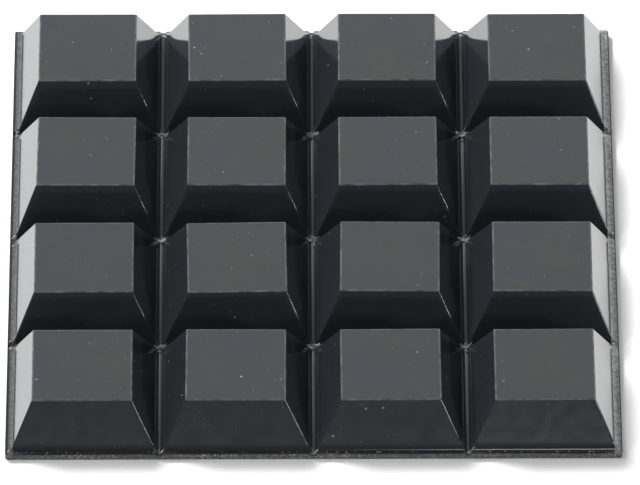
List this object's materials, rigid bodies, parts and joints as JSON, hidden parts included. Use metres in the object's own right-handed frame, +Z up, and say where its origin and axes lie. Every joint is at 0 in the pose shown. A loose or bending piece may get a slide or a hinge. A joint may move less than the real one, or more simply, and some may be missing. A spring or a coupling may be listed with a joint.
{
  "type": "rubber foot sheet",
  "caption": "Sheet of tapered square rubber feet, joined by a thin web under V-shaped grooves, with a raised rim round the outside and a plain flat underside",
  "frame": {"origin": "centre of the sheet's flat underside", "axes": "X across the sheet from left to right, Y from the edge nearest the viewer to the far edge, Z up out of the tops of the feet"},
  "size_m": [0.0824, 0.0824, 0.0076],
  "materials": {
    "rubber": "matte flat tops, smooth glossy sides"
  },
  "bodies": {
    "root": {"foot_sheet": "rubber"}
  },
  "joints": []
}
